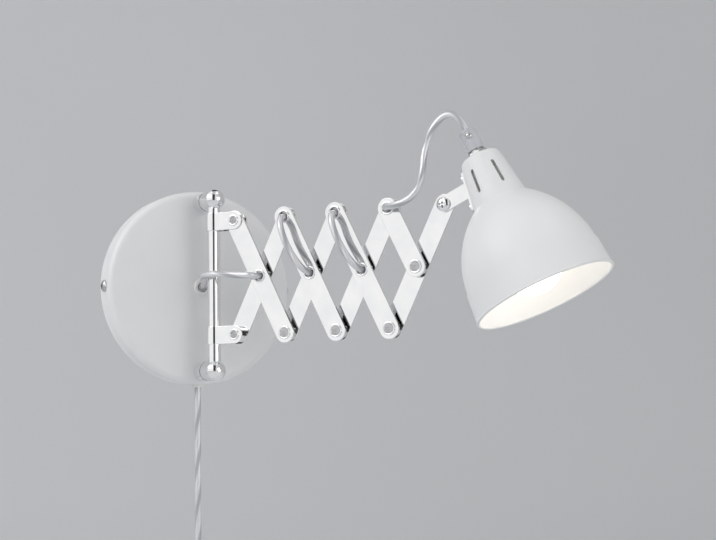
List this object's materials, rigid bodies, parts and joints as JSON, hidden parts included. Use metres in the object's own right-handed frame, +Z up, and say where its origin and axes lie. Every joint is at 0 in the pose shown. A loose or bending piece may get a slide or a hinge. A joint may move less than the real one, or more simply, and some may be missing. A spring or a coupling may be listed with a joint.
{
  "type": "accordion wall lamp",
  "caption": "Wall light: a round wall plate, an upright rod on posts, a scissor arm of flat metal links that pulls out and swings, and a tilting bell shade; mains cord with switch and plug.",
  "frame": {"origin": "on the wall, at the centre of the back of the round wall plate, midway between the two wall-screw slots", "axes": "+Z up, +Y into the wall, -Y out into the room, +X to the right as one faces the wall; the upright rod is parallel to Z"},
  "size_m": [0.2864, 0.3066, 0.5138],
  "materials": {
    "white_coat": "matt white powder coat",
    "chrome": "polished chrome plating",
    "steel": "bright zinc-plated steel",
    "clear_cord": "clear sheath over silver twin wires",
    "white_plastic": "white moulded plastic",
    "clear_plastic": "clear moulded plastic",
    "bulb_glass": "opal white glass",
    "bulb_metal": "plain sheet",
    "pin_metal": "nickel plate"
  },
  "bodies": {
    "wall_unit": {"wall_plate": "white_coat", "wall_bracket": "steel", "plate_side_screws": "steel", "posts": "chrome", "post_nuts": "steel", "swivel_rod": "chrome", "cable_grommet": "white_plastic", "mains_bushing": "white_plastic", "terminal_block": "white_plastic", "terminal_screws": "steel", "cord_anchor": "white_plastic", "inner_leads": "clear_cord", "lamp_cord_start": "clear_cord", "mains_cord_drop": "clear_cord", "mains_cord_middle": "clear_cord", "mains_cord_coil": "clear_cord", "mains_cord_tail": "clear_cord", "coil_tie": "white_plastic", "switch_base": "white_plastic", "switch_cover": "white_plastic", "plug_body": "white_plastic", "plug_pins": "pin_metal"},
    "switch_rocker": {"switch_rocker": "white_plastic"},
    "swivel": {"upper_clamp": "chrome", "upper_clamp_rivet": "chrome"},
    "lower_slider": {"lower_clamp": "chrome", "lower_clamp_rivet": "chrome"},
    "front_1": {"front_link_1": "chrome", "front_link_1_eyelets": "chrome"},
    "back_1": {"back_link_1": "chrome", "back_link_1_eyelet": "chrome", "back_link_1_cord": "clear_cord"},
    "front_2": {"front_link_2": "chrome", "front_link_2_eyelets": "chrome", "front_link_2_cord": "clear_cord"},
    "back_2": {"back_link_2": "chrome", "back_link_2_eyelet": "chrome", "back_link_2_cord": "clear_cord"},
    "front_3": {"front_link_3": "chrome", "front_link_3_eyelets": "chrome", "front_link_3_cord": "clear_cord"},
    "back_3": {"back_link_3": "chrome", "back_link_3_eyelet": "chrome", "back_link_3_cord": "clear_cord"},
    "front_4": {"front_link_4": "chrome", "front_link_4_eyelet": "chrome"},
    "back_4": {"back_link_4": "chrome", "head_screw": "chrome", "head_nut": "chrome", "lamp_cord_arch": "clear_cord"},
    "head": {"head_bracket": "chrome", "bracket_rivets": "chrome", "shade": "white_coat", "lamp_holder": "white_plastic", "bulb_glass": "bulb_glass", "bulb_cap": "bulb_metal", "cord_grip": "clear_plastic", "grip_screw": "steel", "nipple": "steel", "nipple_nuts": "steel"}
  },
  "joints": [
    {"name": "arm_swivel", "type": "hinge", "parent": "wall_unit", "child": "swivel", "pos_m": [0, -0.0433, 0], "axis": [0, 0, 1], "range_deg": [-115, 45], "deforming": ["lamp_cord_start"]},
    {"name": "arm_extend", "type": "hinge", "parent": "swivel", "child": "front_1", "pos_m": [0.01159, -0.05985, 0.0476], "axis": [-0.8192, -0.5736, 0], "range_deg": [-12, 24], "deforming": ["lamp_cord_start", "lamp_cord_arch"]},
    {"name": "crossing_1", "type": "hinge", "parent": "front_1", "child": "back_1", "pos_m": [0.02379, -0.07727, 0.00457], "axis": [-0.8192, -0.5736, 0], "range_deg": [-48, 24]},
    {"name": "upper_pivot_1", "type": "hinge", "parent": "back_1", "child": "front_2", "pos_m": [0.03598, -0.09469, 0.0476], "axis": [-0.8192, -0.5736, 0], "range_deg": [-24, 48]},
    {"name": "crossing_2", "type": "hinge", "parent": "front_2", "child": "back_2", "pos_m": [0.04818, -0.11211, 0.00457], "axis": [-0.8192, -0.5736, 0], "range_deg": [-48, 24]},
    {"name": "upper_pivot_2", "type": "hinge", "parent": "back_2", "child": "front_3", "pos_m": [0.06038, -0.12953, 0.0476], "axis": [-0.8192, -0.5736, 0], "range_deg": [-24, 48]},
    {"name": "crossing_3", "type": "hinge", "parent": "front_3", "child": "back_3", "pos_m": [0.07258, -0.14695, 0.00457], "axis": [-0.8192, -0.5736, 0], "range_deg": [-48, 24]},
    {"name": "upper_pivot_3", "type": "hinge", "parent": "back_3", "child": "front_4", "pos_m": [0.08478, -0.16437, 0.0476], "axis": [-0.8192, -0.5736, 0], "range_deg": [-24, 48]},
    {"name": "crossing_4", "type": "hinge", "parent": "front_4", "child": "back_4", "pos_m": [0.09698, -0.1818, 0.00457], "axis": [-0.8192, -0.5736, 0], "range_deg": [-48, 24]},
    {"name": "lower_clamp_pivot", "type": "hinge", "parent": "back_1", "child": "lower_slider", "pos_m": [0.01159, -0.05985, -0.03846], "axis": [-0.8192, -0.5736, 0], "range_deg": [-12, 24]},
    {"name": "head_tilt", "type": "hinge", "parent": "back_4", "child": "head", "pos_m": [0.10917, -0.19922, 0.0476], "axis": [-0.8192, -0.5736, 0], "range_deg": [-20, 60], "deforming": ["lamp_cord_arch"]},
    {"name": "switch_press", "type": "hinge", "parent": "wall_unit", "child": "switch_rocker", "pos_m": [0, -0.0135, -0.234], "axis": [1, 0, 0], "range_deg": [0, 14]}
  ],
  "couplings": [
    {"joint": "crossing_1", "follows": "arm_extend", "ratio": -2},
    {"joint": "upper_pivot_1", "follows": "arm_extend", "ratio": 2},
    {"joint": "crossing_2", "follows": "arm_extend", "ratio": -2},
    {"joint": "upper_pivot_2", "follows": "arm_extend", "ratio": 2},
    {"joint": "crossing_3", "follows": "arm_extend", "ratio": -2},
    {"joint": "upper_pivot_3", "follows": "arm_extend", "ratio": 2},
    {"joint": "crossing_4", "follows": "arm_extend", "ratio": -2},
    {"joint": "lower_clamp_pivot", "follows": "arm_extend", "ratio": 1}
  ]
}
